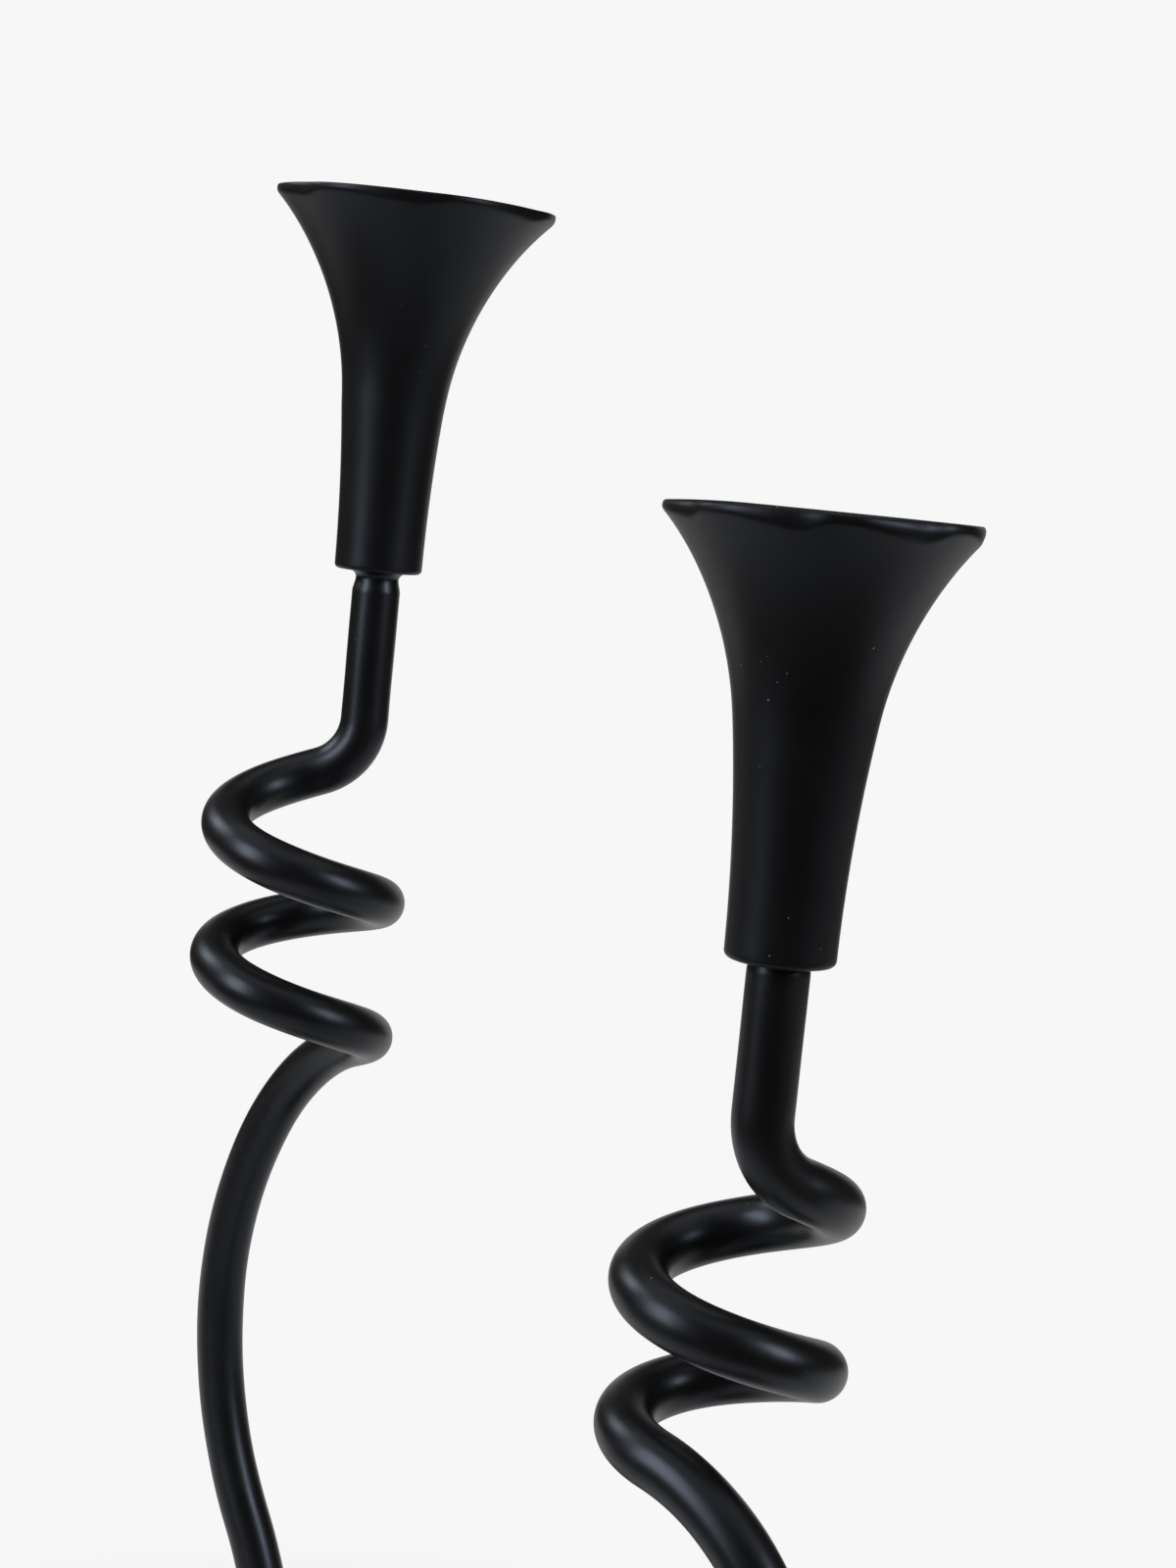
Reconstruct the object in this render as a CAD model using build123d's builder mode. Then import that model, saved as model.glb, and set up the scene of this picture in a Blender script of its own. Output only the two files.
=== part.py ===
from build123d import *
import os
from math import atan, ceil, cos, dist, pi, radians, sin, tan
from types import SimpleNamespace

# A set of two spiral candle holders, one tall and one short, that stand side by side.
# Each is one round bar, bent into an upright, a coil, a bow and a foot, with a trumpet cup screwed
# to its top end and a round foot plate screwed to its lower end.
# X runs to the right, Y away from the viewer and Z up, with the table at Z = 0. Sizes are millimetres.

# The bar
bar_diameter = 12.0
neck_diameter = 11.0
neck_length = 5.5
foot_length = 10.0

# The candle and the inside of a cup
candle_diameter = 22.0
candle_clearance = 0.2
pocket_diameter = 17.0
cup_floor = 5.0
cup_corner_radius = 1.2

# The lip of a cup: a level top over a thin end face, with points that are cut back between them
lip_height = 1.3
lip_trim = 0.3
lip_cut_back = 1.4
lip_land = 0.7
lip_land_radius = 0.5
lip_points = 7
lip_point_share = 0.55
lip_point_round = 10.0

# The screws and washers
screw_diameter = 6.0
screw_clearance = 0.2
thread_clearance = 0.1
tap_spare = 3.0
cup_screw_length = 20.0
screw_head_diameter = 10.0
screw_head_height = 6.0
screw_socket_width = 5.0
screw_socket_depth = 3.0
washer_diameter = 12.5
washer_thickness = 1.6
base_screw_length = 20.0
countersunk_head_diameter = 12.0
countersink_clearance = 0.15

# The foot plate and its felt pads
base_diameter = 120.0
base_thickness = 6.0
base_top_radius = 2.5
base_under_radius = 0.8
pad_count = 3
pad_diameter = 14.0
pad_thickness = 2.0
pad_inset = 5.0

# How far apart the two holders stand
spread_across = 97.5
spread_away = 219.0

# The tall holder
tall_bar_top = 336.0
tall_bend_radius = 15.6
tall_coil_radius = 20.3
tall_coil_start_height = 283.2
tall_coil_start_angle = 88.5
tall_coil_sweep = 670.0
tall_coil_top_pitch = 48.9
tall_coil_low_pitch = 45.3
tall_coil_squeeze = 15.2
tall_coil_lean = 0.0
tall_bow_across = -26.4
tall_bow_away = 22.0
tall_bow_height = 137.0
tall_cup_height = 94.1
tall_cup_bottom_diameter = 22.4
tall_seat_height = 30.0
tall_bore_top = 41.0
tall_throat_height = 45.0
tall_throat_diameter = 26.8
tall_flare_height = 82.0
tall_flare_diameter = 53.4
tall_rim_diameter = 70.8
tall_lip_turn = 4.5

# The short holder
short_bar_top = 282.75
short_bend_radius = 15.7
short_coil_radius = 18.2
short_coil_start_height = 239.2
short_coil_start_angle = -58.5
short_coil_sweep = 647.0
short_coil_top_pitch = 38.8
short_coil_low_pitch = 26.2
short_coil_squeeze = 2.0
short_coil_lean = -4.9
short_bow_across = 20.8
short_bow_away = -20.0
short_bow_height = 119.0
short_cup_height = 83.1
short_cup_bottom_diameter = 21.0
short_seat_height = 33.0
short_bore_top = 42.0
short_throat_height = 45.0
short_throat_diameter = 26.7
short_flare_height = 72.7
short_flare_diameter = 45.8
short_rim_diameter = 59.1
short_lip_turn = -8.0

# Shared results of those sizes
bar_radius = bar_diameter / 2
screw_radius = screw_diameter / 2
tap_radius = screw_radius + thread_clearance
screw_hole_radius = screw_radius + screw_clearance
bore_radius = candle_diameter / 2 + candle_clearance
plate_top = pad_thickness + base_thickness
down = Vector(0, 0, -1)

tall = SimpleNamespace(
    name="tall",
    place=Vector(-spread_across / 2, spread_away / 2, 0),
    bar_top=tall_bar_top,
    bend_radius=tall_bend_radius,
    coil_radius=tall_coil_radius,
    coil_start_height=tall_coil_start_height,
    coil_start_angle=radians(tall_coil_start_angle),
    coil_sweep=radians(tall_coil_sweep),
    coil_pitches=(tall_coil_top_pitch, tall_coil_low_pitch),
    coil_squeeze=tall_coil_squeeze,
    coil_lean=radians(tall_coil_lean),
    bow=Vector(tall_bow_across, tall_bow_away, tall_bow_height),
    cup_height=tall_cup_height,
    cup_bottom=(tall_cup_bottom_diameter / 2, 0),
    seat_height=tall_seat_height,
    bore_top=tall_bore_top,
    throat=(tall_throat_diameter / 2, tall_throat_height),
    flare=(tall_flare_diameter / 2, tall_flare_height),
    rim_radius=tall_rim_diameter / 2,
    lip_turn=tall_lip_turn,
)

short = SimpleNamespace(
    name="short",
    place=Vector(spread_across / 2, -spread_away / 2, 0),
    bar_top=short_bar_top,
    bend_radius=short_bend_radius,
    coil_radius=short_coil_radius,
    coil_start_height=short_coil_start_height,
    coil_start_angle=radians(short_coil_start_angle),
    coil_sweep=radians(short_coil_sweep),
    coil_pitches=(short_coil_top_pitch, short_coil_low_pitch),
    coil_squeeze=short_coil_squeeze,
    coil_lean=radians(short_coil_lean),
    bow=Vector(short_bow_across, short_bow_away, short_bow_height),
    cup_height=short_cup_height,
    cup_bottom=(short_cup_bottom_diameter / 2, 0),
    seat_height=short_seat_height,
    bore_top=short_bore_top,
    throat=(short_throat_diameter / 2, short_throat_height),
    flare=(short_flare_diameter / 2, short_flare_height),
    rim_radius=short_rim_diameter / 2,
    lip_turn=short_lip_turn,
)


def upright_plane(holder, height):
    """The plane of a turned profile: its x is the radius and its y the height above `height`."""
    return Plane(origin=holder.place + Vector(0, 0, height), x_dir=(1, 0, 0), z_dir=(0, -1, 0))


def level_plane(holder, height):
    """The horizontal plane on the holder's axis at this height."""
    return Plane(origin=holder.place + Vector(0, 0, height))


def holder_axis(holder):
    """The upright line through the cup, the bar's top end and the foot plate."""
    return Axis(holder.place, (0, 0, 1))


def save(part, holder, piece):
    """Label one finished piece and write it as its own node."""
    part.label = f"{holder.name}_{piece}"
    export_step(part, f"parts/{part.label}.step")


def coil_slope(holder, share):
    """The angle of the bar below the horizontal, at a share of the coil from its top to its end."""
    top_pitch, low_pitch = holder.coil_pitches
    angle = holder.coil_start_angle + holder.coil_sweep * share
    pitch = top_pitch + (low_pitch - top_pitch) * share - 4 * holder.coil_squeeze * share * (1 - share)
    return atan(pitch / (2 * pi * holder.coil_radius) - tan(holder.coil_lean) * cos(angle))


def coil_heading(holder, share):
    """The bar's direction at a share of the coil."""
    angle = holder.coil_start_angle + holder.coil_sweep * share
    slope = coil_slope(holder, share)
    return Vector(-sin(angle) * cos(slope), cos(angle) * cos(slope), -sin(slope))


def coil_point(holder, share):
    """A point of the bar's centre line at a share of the coil, whose turns lie closest in its middle."""
    start = holder.coil_start_angle
    angle = start + holder.coil_sweep * share
    run = holder.bend_radius * (1 - sin(coil_slope(holder, 0)))
    centre = Vector(-sin(start), cos(start)) * run - Vector(cos(start), sin(start)) * holder.coil_radius
    top_pitch, low_pitch = holder.coil_pitches
    turns = holder.coil_sweep / (2 * pi)
    even_drop = top_pitch * share + (low_pitch - top_pitch) * share**2 / 2
    saved_drop = 4 * holder.coil_squeeze * (share**2 / 2 - share**3 / 3)
    lift = holder.coil_radius * tan(holder.coil_lean) * (sin(angle) - sin(start))
    height = holder.coil_start_height - turns * (even_drop - saved_drop) + lift
    round_axis = Vector(cos(angle), sin(angle)) * holder.coil_radius
    return centre + round_axis + Vector(0, 0, height)


def biarc(start, heading, end, end_heading):
    """Two arcs that leave `start` along `heading`, meet smoothly and reach `end` along `end_heading`."""
    chord = end - start
    along = chord.dot(heading + end_heading)
    spread = 2 * (1 - heading.dot(end_heading))
    span = chord.dot(chord)
    reach = span / (along + (along**2 + spread * span) ** 0.5)
    first = start + heading * reach
    second = end - end_heading * reach
    joint = (first + second) * 0.5
    TangentArc(start, joint, tangent=heading)
    TangentArc(joint, end, tangent=(second - first).normalized())


def coil_gap(path):
    """The least gap of the bar to itself, measured on points along its centre line."""
    step = bar_radius / 3
    count = ceil(path.length / step)
    points = [tuple(path.position_at(index / count)) for index in range(count + 1)]
    apart = ceil(2 * bar_diameter / step)
    pairs = ((first, second) for first in range(count + 1) for second in range(first + apart, count + 1))
    return min(dist(points[first], points[second]) for first, second in pairs) - bar_diameter


def make_stem(holder):
    """One unbroken bar: necked top end, upright, bend, coil, bow and foot, tapped at both ends."""
    to_set = holder.place
    quarter_turns = ceil(holder.coil_sweep / (pi / 2))
    shares = [index / quarter_turns for index in range(quarter_turns + 1)]
    bend_height = holder.coil_start_height + holder.bend_radius * cos(coil_slope(holder, 0))
    bend_start = to_set + Vector(0, 0, bend_height)
    shoulder = to_set + Vector(0, 0, holder.bar_top - neck_length)
    foot_top = to_set + Vector(0, 0, plate_top + foot_length)
    foot_end = to_set + Vector(0, 0, plate_top)
    with BuildLine() as centre_line:
        Line(shoulder, bend_start)
        TangentArc(bend_start, to_set + coil_point(holder, 0), tangent=down)
        for share, next_share in zip(shares, shares[1:]):
            biarc(
                to_set + coil_point(holder, share),
                coil_heading(holder, share),
                to_set + coil_point(holder, next_share),
                coil_heading(holder, next_share),
            )
        biarc(to_set + coil_point(holder, 1), coil_heading(holder, 1), to_set + holder.bow, down)
        biarc(to_set + holder.bow, down, foot_top, down)
        Line(foot_top, foot_end)
    path = centre_line.wire()
    gap = coil_gap(path)
    print(f"{holder.name} bar: {path.length:.1f} mm long, least gap of the coil to itself {gap:.2f} mm")

    with BuildPart() as stem:
        with BuildSketch(Plane(origin=shoulder, z_dir=down)):
            Circle(bar_radius)
        sweep(path=path)
        with BuildSketch(upright_plane(holder, holder.bar_top - neck_length)):
            with BuildLine():
                Line((0, 0), (bar_radius, 0))
                TangentArc((bar_radius, 0), (neck_diameter / 2, neck_length), tangent=(0, 1))
                Line((neck_diameter / 2, neck_length), (0, neck_length))
                Line((0, neck_length), (0, 0))
            make_face()
        revolve(axis=holder_axis(holder))
        cup_tap_depth = cup_screw_length - cup_floor - washer_thickness + tap_spare
        with BuildSketch(level_plane(holder, holder.bar_top)):
            Circle(tap_radius)
        extrude(amount=-cup_tap_depth, mode=Mode.SUBTRACT)
        base_tap_depth = base_screw_length - base_thickness + tap_spare
        with BuildSketch(level_plane(holder, plate_top)):
            Circle(tap_radius)
        extrude(amount=base_tap_depth, mode=Mode.SUBTRACT)
    save(stem.part, holder, "stem")


def make_cup(holder):
    """A cast trumpet cup: closed floor, screw pocket, candle bore and a flare with a pointed lip."""
    bore_foot = (bore_radius, holder.seat_height)
    bore_mouth = (bore_radius, holder.bore_top)
    lip_foot = (holder.rim_radius + lip_trim, holder.cup_height - lip_height)
    lip_edge = (holder.rim_radius + lip_trim, holder.cup_height)
    dip_radius = holder.rim_radius - lip_cut_back
    land = (dip_radius - lip_land, holder.cup_height)
    half_point = lip_point_share * pi / lip_points
    point_spread = holder.rim_radius - dip_radius * cos(half_point)
    point_centre = (holder.rim_radius**2 - dip_radius**2) / (2 * point_spread)
    first_point = holder.lip_turn - 90 + 180 / lip_points
    with BuildPart() as cup:
        with BuildSketch(upright_plane(holder, holder.bar_top)) as profile:
            with BuildLine():
                throat = TangentArc(holder.cup_bottom, holder.throat, tangent=(0, 1))
                flare = TangentArc(holder.throat, holder.flare, tangent=throat % 1)
                TangentArc(holder.flare, lip_foot, tangent=flare % 1)
                Polyline(lip_foot, lip_edge, land)
                TangentArc(bore_mouth, land, tangent=(0, 1))
                Polyline(
                    bore_mouth,
                    bore_foot,
                    (pocket_diameter / 2, holder.seat_height),
                    (pocket_diameter / 2, cup_floor),
                    (screw_hole_radius, cup_floor),
                    (screw_hole_radius, 0),
                    holder.cup_bottom,
                )
            make_face()
            fillet(profile.vertices().group_by(Axis.Y)[-1].sort_by(Axis.X)[0], lip_land_radius)
        revolve(axis=holder_axis(holder))
        fillet(cup.edges().group_by(Axis.Z)[0].sort_by(SortBy.RADIUS)[-1], cup_corner_radius)
        with BuildSketch(level_plane(holder, holder.bar_top)) as lip_plan:
            Circle(dip_radius)
            with PolarLocations(point_centre, lip_points, start_angle=first_point):
                Circle(holder.rim_radius - point_centre)
            fillet(lip_plan.vertices(), lip_point_round)
        extrude(amount=holder.cup_height, mode=Mode.INTERSECT)
    save(cup.part, holder, "cup")


def make_cup_screw(holder):
    """The socket-head screw that holds the cup on the bar's tapped top end."""
    seat = holder.bar_top + cup_floor + washer_thickness
    with BuildPart() as cup_screw:
        with BuildSketch(level_plane(holder, seat)):
            Circle(screw_head_diameter / 2)
        extrude(amount=screw_head_height)
        with BuildSketch(level_plane(holder, seat)):
            Circle(screw_radius)
        extrude(amount=-cup_screw_length)
        with BuildSketch(level_plane(holder, seat + screw_head_height)):
            RegularPolygon(screw_socket_width / 2, 6, major_radius=False)
        extrude(amount=-screw_socket_depth, mode=Mode.SUBTRACT)
    save(cup_screw.part, holder, "cup_screw")


def make_cup_washer(holder):
    """The plain washer under that screw's head, on the cup's floor."""
    with BuildPart() as cup_washer:
        with BuildSketch(level_plane(holder, holder.bar_top + cup_floor)):
            Circle(washer_diameter / 2)
            Circle(screw_hole_radius, mode=Mode.SUBTRACT)
        extrude(amount=washer_thickness)
    save(cup_washer.part, holder, "cup_washer")


def make_base_plate(holder):
    """The round foot plate, with rounded edges and a countersunk hole from beneath."""
    countersink_radius = countersunk_head_diameter / 2 + countersink_clearance
    countersink_depth = countersink_radius - screw_hole_radius
    with BuildPart() as base_plate:
        with BuildSketch(level_plane(holder, pad_thickness)):
            Circle(base_diameter / 2)
        extrude(amount=base_thickness)
        fillet(base_plate.edges().sort_by(Axis.Z)[-1], base_top_radius)
        fillet(base_plate.edges().sort_by(Axis.Z)[0], base_under_radius)
        with BuildSketch(upright_plane(holder, pad_thickness)):
            with BuildLine():
                Polyline(
                    (0, 0),
                    (countersink_radius, 0),
                    (screw_hole_radius, countersink_depth),
                    (screw_hole_radius, base_thickness),
                    (0, base_thickness),
                    close=True,
                )
            make_face()
        revolve(axis=holder_axis(holder), mode=Mode.SUBTRACT)
    save(base_plate.part, holder, "base_plate")


def make_base_screw(holder):
    """The countersunk screw that goes up through the plate into the bar's tapped foot."""
    head_radius = countersunk_head_diameter / 2
    with BuildPart() as base_screw:
        with BuildSketch(upright_plane(holder, pad_thickness)):
            with BuildLine():
                Polyline(
                    (0, 0),
                    (head_radius, 0),
                    (screw_radius, head_radius - screw_radius),
                    (screw_radius, base_screw_length),
                    (0, base_screw_length),
                    close=True,
                )
            make_face()
        revolve(axis=holder_axis(holder))
        with BuildSketch(level_plane(holder, pad_thickness)):
            RegularPolygon(screw_socket_width / 2, 6, major_radius=False)
        extrude(amount=screw_socket_depth, mode=Mode.SUBTRACT)
    save(base_screw.part, holder, "base_screw")


def make_felt_pads(holder):
    """The felt pads under the plate, on which the holder rests."""
    pad_circle = base_diameter / 2 - pad_inset - pad_diameter / 2
    with BuildPart() as felt_pads:
        with BuildSketch(level_plane(holder, 0)):
            with PolarLocations(pad_circle, pad_count, start_angle=90):
                Circle(pad_diameter / 2)
        extrude(amount=pad_thickness)
    save(felt_pads.part, holder, "felt_pads")


os.makedirs("parts", exist_ok=True)
for holder in (tall, short):
    make_stem(holder)
    make_cup(holder)
    make_cup_screw(holder)
    make_cup_washer(holder)
    make_base_plate(holder)
    make_base_screw(holder)
    make_felt_pads(holder)
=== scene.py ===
# %% [markdown]
# # Dressing two spiral candle holders
# The set is two candle holders of one design, a tall one that stands further back and a short one in
# front. Each is a single black steel bar, bent by hand into a coil and a bow, with a trumpet cup on its top
# end and a round plate under its foot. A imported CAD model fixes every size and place, and this lesson builds
# finer surfaces over it, paints them and sets up the camera and the light.

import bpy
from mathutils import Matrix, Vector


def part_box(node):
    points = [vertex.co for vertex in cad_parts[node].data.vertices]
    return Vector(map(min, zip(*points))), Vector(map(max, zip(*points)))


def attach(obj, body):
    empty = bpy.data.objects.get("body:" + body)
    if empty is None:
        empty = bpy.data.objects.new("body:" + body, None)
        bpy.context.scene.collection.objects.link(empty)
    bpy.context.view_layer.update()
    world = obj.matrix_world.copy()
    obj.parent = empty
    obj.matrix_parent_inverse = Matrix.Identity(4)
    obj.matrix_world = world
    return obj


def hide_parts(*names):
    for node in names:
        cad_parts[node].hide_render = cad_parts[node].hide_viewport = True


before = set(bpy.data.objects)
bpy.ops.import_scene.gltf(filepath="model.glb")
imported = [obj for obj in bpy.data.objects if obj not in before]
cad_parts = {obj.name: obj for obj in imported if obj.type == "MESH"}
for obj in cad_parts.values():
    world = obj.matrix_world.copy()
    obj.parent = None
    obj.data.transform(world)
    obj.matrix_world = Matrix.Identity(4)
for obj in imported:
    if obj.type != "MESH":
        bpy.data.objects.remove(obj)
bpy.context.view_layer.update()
print("CAD nodes:", sorted(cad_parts))

# %% [markdown]
# ## Units and small tools
# Blender works in metres, but a maker thinks of a candle holder in millimetres. One named factor lets every
# size below be read in millimetres while the meshes stay in metres, in the same frame as the CAD model.

# %% Units and imports
from math import atan, ceil, cos, pi, radians, sin, sqrt, tan
from types import SimpleNamespace

import bpy
from mathutils import Matrix, Vector

MM = 0.001
UP = Vector((0, 0, 1))
DOWN = Vector((0, 0, -1))


def box_of(node):
    """The lowest and highest corner of a CAD node as vectors."""
    low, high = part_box(node)
    return Vector(low), Vector(high)


# %% [markdown]
# ## The two holders
# What can be read from the frame is read from it: the place of each holder's upright axis, the height of the
# bar's top end and the cup's height. The bends of the bar aren't in the frame's record, so the same few
# bending sizes that the bar was built from are named here: the coil's radius, pitch and sweep, the first
# bend's radius, and the furthest point of the bow. A coil wound by hand isn't even. Its turns lie closest in
# the middle by an amount called the squeeze, and the short coil leans a little. The cups' flares were shaped
# by hand too: each sits a touch to one side with its rim a little off the level, and one tip droops.

# %% Read the places and name the bends
FOOT_LENGTH = 10.0 * MM


def read_holder(name, **bends):
    """One holder: its places from the frame, and the named sizes of its bends and cup."""
    screw_low, screw_high = box_of(f"{name}_cup_screw")
    cup_low, cup_high = box_of(f"{name}_cup")
    plate_low, plate_high = box_of(f"{name}_base_plate")
    middle = (screw_low + screw_high) / 2
    return SimpleNamespace(
        name=name,
        place=Vector((middle.x, middle.y, 0)),
        bar_top=cup_low.z,
        cup_height=cup_high.z - cup_low.z,
        plate_low=plate_low.z,
        plate_top=plate_high.z,
        **bends,
    )


tall = read_holder(
    "tall",
    bend_radius=15.6 * MM,
    coil_radius=20.3 * MM,
    coil_start_height=283.2 * MM,
    coil_start_angle=radians(88.5),
    coil_sweep=radians(670.0),
    top_pitch=48.9 * MM,
    low_pitch=45.3 * MM,
    coil_squeeze=15.2 * MM,
    coil_lean=0.0,
    bow=Vector((-26.4, 22.0, 137.0)) * MM,
    bar_radius=6.15 * MM,
    neck_radius=5.5 * MM,
    neck_end=1.8 * MM,
    shoulder_end=5.5 * MM,
    fillet_height=1.8 * MM,
    fillet_reach=1.6 * MM,
    cup_bottom_radius=11.2 * MM,
    seat_height=30.0 * MM,
    bore_top=41.0 * MM,
    throat=(13.4 * MM, 45.0 * MM),
    flare=(26.7 * MM, 82.0 * MM),
    rim_radius=35.4 * MM,
    edge_drop=0.25 * MM,
    edge_width=0.25 * MM,
    lip_turn=radians(4.5),
    dip_spread=0.09,
    flare_shift=1.6 * MM,
    rim_tilt=radians(0.8),
    rim_nod=0.0,
    tip_droop=0.0,
    uneven_phase=1.7,
)
short = read_holder(
    "short",
    bend_radius=15.7 * MM,
    coil_radius=18.2 * MM,
    coil_start_height=239.2 * MM,
    coil_start_angle=radians(-58.5),
    coil_sweep=radians(647.0),
    top_pitch=38.8 * MM,
    low_pitch=26.2 * MM,
    coil_squeeze=2.0 * MM,
    coil_lean=radians(-4.9),
    bow=Vector((20.8, -20.0, 119.0)) * MM,
    bar_radius=5.95 * MM,
    neck_radius=5.75 * MM,
    neck_end=0.2 * MM,
    shoulder_end=2.0 * MM,
    fillet_height=0.4 * MM,
    fillet_reach=0.2 * MM,
    cup_bottom_radius=10.5 * MM,
    seat_height=33.0 * MM,
    bore_top=42.0 * MM,
    throat=(13.5 * MM, 45.0 * MM),
    flare=(23.35 * MM, 72.7 * MM),
    rim_radius=29.85 * MM,
    edge_drop=0.6 * MM,
    edge_width=0.3 * MM,
    lip_turn=radians(-14.0),
    dip_spread=-0.08,
    flare_shift=-0.25 * MM,
    rim_tilt=0.0,
    rim_nod=radians(0.5),
    tip_droop=0.7 * MM,
    uneven_phase=0.4,
)
HOLDERS = (tall, short)
for holder in HOLDERS:
    print(holder.name, "stands at", tuple(holder.place))
    print(holder.name, "bar ends at height", round(holder.bar_top, 4))

# %% [markdown]
# ## The line that the bar follows
# A bar bender thinks in straight runs and bends. The centre line starts straight down, takes one bend into
# the coil, winds round on an even radius, and swings out through the bow and back to the foot. The coil is a
# formula. The bow is two pairs of arcs that meet smoothly, called biarcs, because they need only an end point
# and a direction at each end. Points about a millimetre apart are enough for a smooth tube.

# %% Points of the centre line
LINE_STEP = 1.1 * MM
FINE_STEP = 0.3 * MM
FINE_LENGTH = 6.0 * MM


def spaced(length, step):
    """Evenly spaced shares from just above 0 to 1, about `step` apart over that length."""
    count = max(2, ceil(length / step))
    return [index / count for index in range(1, count + 1)]


def straight_run(start, end, step):
    """The points of a straight run, without its first one."""
    return [start.lerp(end, share) for share in spaced((end - start).length, step)]


def arc_shape(start, heading, end):
    """The radius, the turn and the way inward of the arc that leaves `start` along `heading` for `end`."""
    chord = end - start
    turn = 2 * chord.angle(heading)
    inward = (chord - heading * chord.dot(heading)).normalized()
    return chord.length / (2 * sin(turn / 2)), turn, inward


def arc_points(start, heading, end, shares):
    """The points of that arc at these shares of its turn."""
    radius, turn, inward = arc_shape(start, heading, end)
    angles = [turn * share for share in shares]
    return [start + (heading * sin(angle) + inward * (1 - cos(angle))) * radius for angle in angles]


def arc_run(start, heading, end):
    """The points of an arc of the bar, without its first one."""
    radius, turn, _ = arc_shape(start, heading, end)
    return arc_points(start, heading, end, spaced(turn * radius, LINE_STEP))


def biarc_run(start, heading, end, end_heading):
    """The points of two smooth arcs from `start` to `end`, without the first one."""
    chord = end - start
    along = chord.dot(heading + end_heading)
    spread = 2 * (1 - heading.dot(end_heading))
    span = chord.dot(chord)
    reach = span / (along + sqrt(along**2 + spread * span))
    first = start + heading * reach
    second = end - end_heading * reach
    joint = (first + second) / 2
    return arc_run(start, heading, joint) + arc_run(joint, (second - first).normalized(), end)


# %% Points of the coil
def coil_slope(holder, share):
    """How steeply the bar runs down at a share of the coil."""
    angle = holder.coil_start_angle + holder.coil_sweep * share
    pitch = holder.top_pitch + (holder.low_pitch - holder.top_pitch) * share
    pitch -= 4 * holder.coil_squeeze * share * (1 - share)
    return atan(pitch / (2 * pi * holder.coil_radius) - tan(holder.coil_lean) * cos(angle))


def coil_heading(holder, share):
    """The bar's direction at a share of the coil."""
    angle = holder.coil_start_angle + holder.coil_sweep * share
    slope = coil_slope(holder, share)
    return Vector((-sin(angle) * cos(slope), cos(angle) * cos(slope), -sin(slope)))


def coil_point(holder, share):
    """A point of the coil's centre line."""
    start = holder.coil_start_angle
    angle = start + holder.coil_sweep * share
    run = holder.bend_radius * (1 - sin(coil_slope(holder, 0)))
    out_of_bend = Vector((-sin(start), cos(start), 0)) * run
    centre = out_of_bend - Vector((cos(start), sin(start), 0)) * holder.coil_radius
    turns = holder.coil_sweep / (2 * pi)
    even_drop = holder.top_pitch * share + (holder.low_pitch - holder.top_pitch) * share**2 / 2
    saved_drop = 4 * holder.coil_squeeze * (share**2 / 2 - share**3 / 3)
    lift = holder.coil_radius * tan(holder.coil_lean) * (sin(angle) - sin(start))
    height = holder.coil_start_height - turns * (even_drop - saved_drop) + lift
    round_axis = Vector((cos(angle), sin(angle), 0)) * holder.coil_radius
    return holder.place + centre + round_axis + UP * height


def centre_line(holder):
    """The bar's centre line from the cup's underside down to the plate."""
    place = holder.place
    top = place + UP * holder.bar_top
    shoulder = top + DOWN * FINE_LENGTH
    bend_height = holder.coil_start_height + holder.bend_radius * cos(coil_slope(holder, 0))
    bend_start = place + UP * bend_height
    coil_length = holder.coil_radius * holder.coil_sweep
    foot_top = place + UP * (holder.plate_top + FOOT_LENGTH)
    points = [top]
    points += straight_run(top, shoulder, FINE_STEP)
    points += straight_run(shoulder, bend_start, LINE_STEP)
    points += arc_run(bend_start, DOWN, coil_point(holder, 0))
    points += [coil_point(holder, share) for share in spaced(coil_length, LINE_STEP)]
    points += biarc_run(points[-1], coil_heading(holder, 1), place + holder.bow, DOWN)
    points += biarc_run(points[-1], DOWN, foot_top, DOWN)
    points += straight_run(foot_top, place + UP * holder.plate_top, FINE_STEP)
    return points


for holder in HOLDERS:
    line = centre_line(holder)
    length = sum((b - a).length for a, b in zip(line, line[1:]))
    print(holder.name, "bar:", len(line), "points over", round(length, 4), "m")

# %% [markdown]
# ## A tube along a line
# A curve with a round bevel would do, but a mesh tube lets the radius change along the bar: the necked end
# under the cup, the small fillets of paint at both ends, and the slight unevenness of a bar that was heated
# and bent by hand. Each ring is carried along without twisting, so the faces stay even.

# %% Mesh helpers
SMOOTH_ANGLE = radians(40)


def mesh_object(name, points, faces):
    """A smooth-shaded mesh object that keeps its hard corners."""
    mesh = bpy.data.meshes.new(name)
    mesh.from_pydata([tuple(point) for point in points], [], faces)
    mesh.validate()
    mesh.shade_smooth()
    mesh.set_sharp_from_angle(angle=SMOOTH_ANGLE)
    piece = bpy.data.objects.new(name, mesh)
    bpy.context.scene.collection.objects.link(piece)
    return piece


def ring_faces(rings, sides, closed):
    """Quads between neighbouring rings of points; `closed` also joins the last ring to the first."""
    faces = []
    for ring in range(rings if closed else rings - 1):
        here = ring * sides
        there = (ring + 1) % rings * sides
        for side in range(sides):
            beside = (side + 1) % sides
            faces.append((here + side, here + beside, there + beside, there + side))
    return faces


def carried_frames(line):
    """For each point of the line, two directions across it that turn as little as possible."""
    headings = [(b - a).normalized() for a, b in zip(line, line[1:])]
    headings.append(headings[-1])
    across = Vector((1, 0, 0))
    frames = []
    for before, heading in zip([headings[0]] + headings, headings):
        across = before.rotation_difference(heading) @ across
        across = (across - heading * across.dot(heading)).normalized()
        frames.append((across, heading.cross(across)))
    return frames


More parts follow.
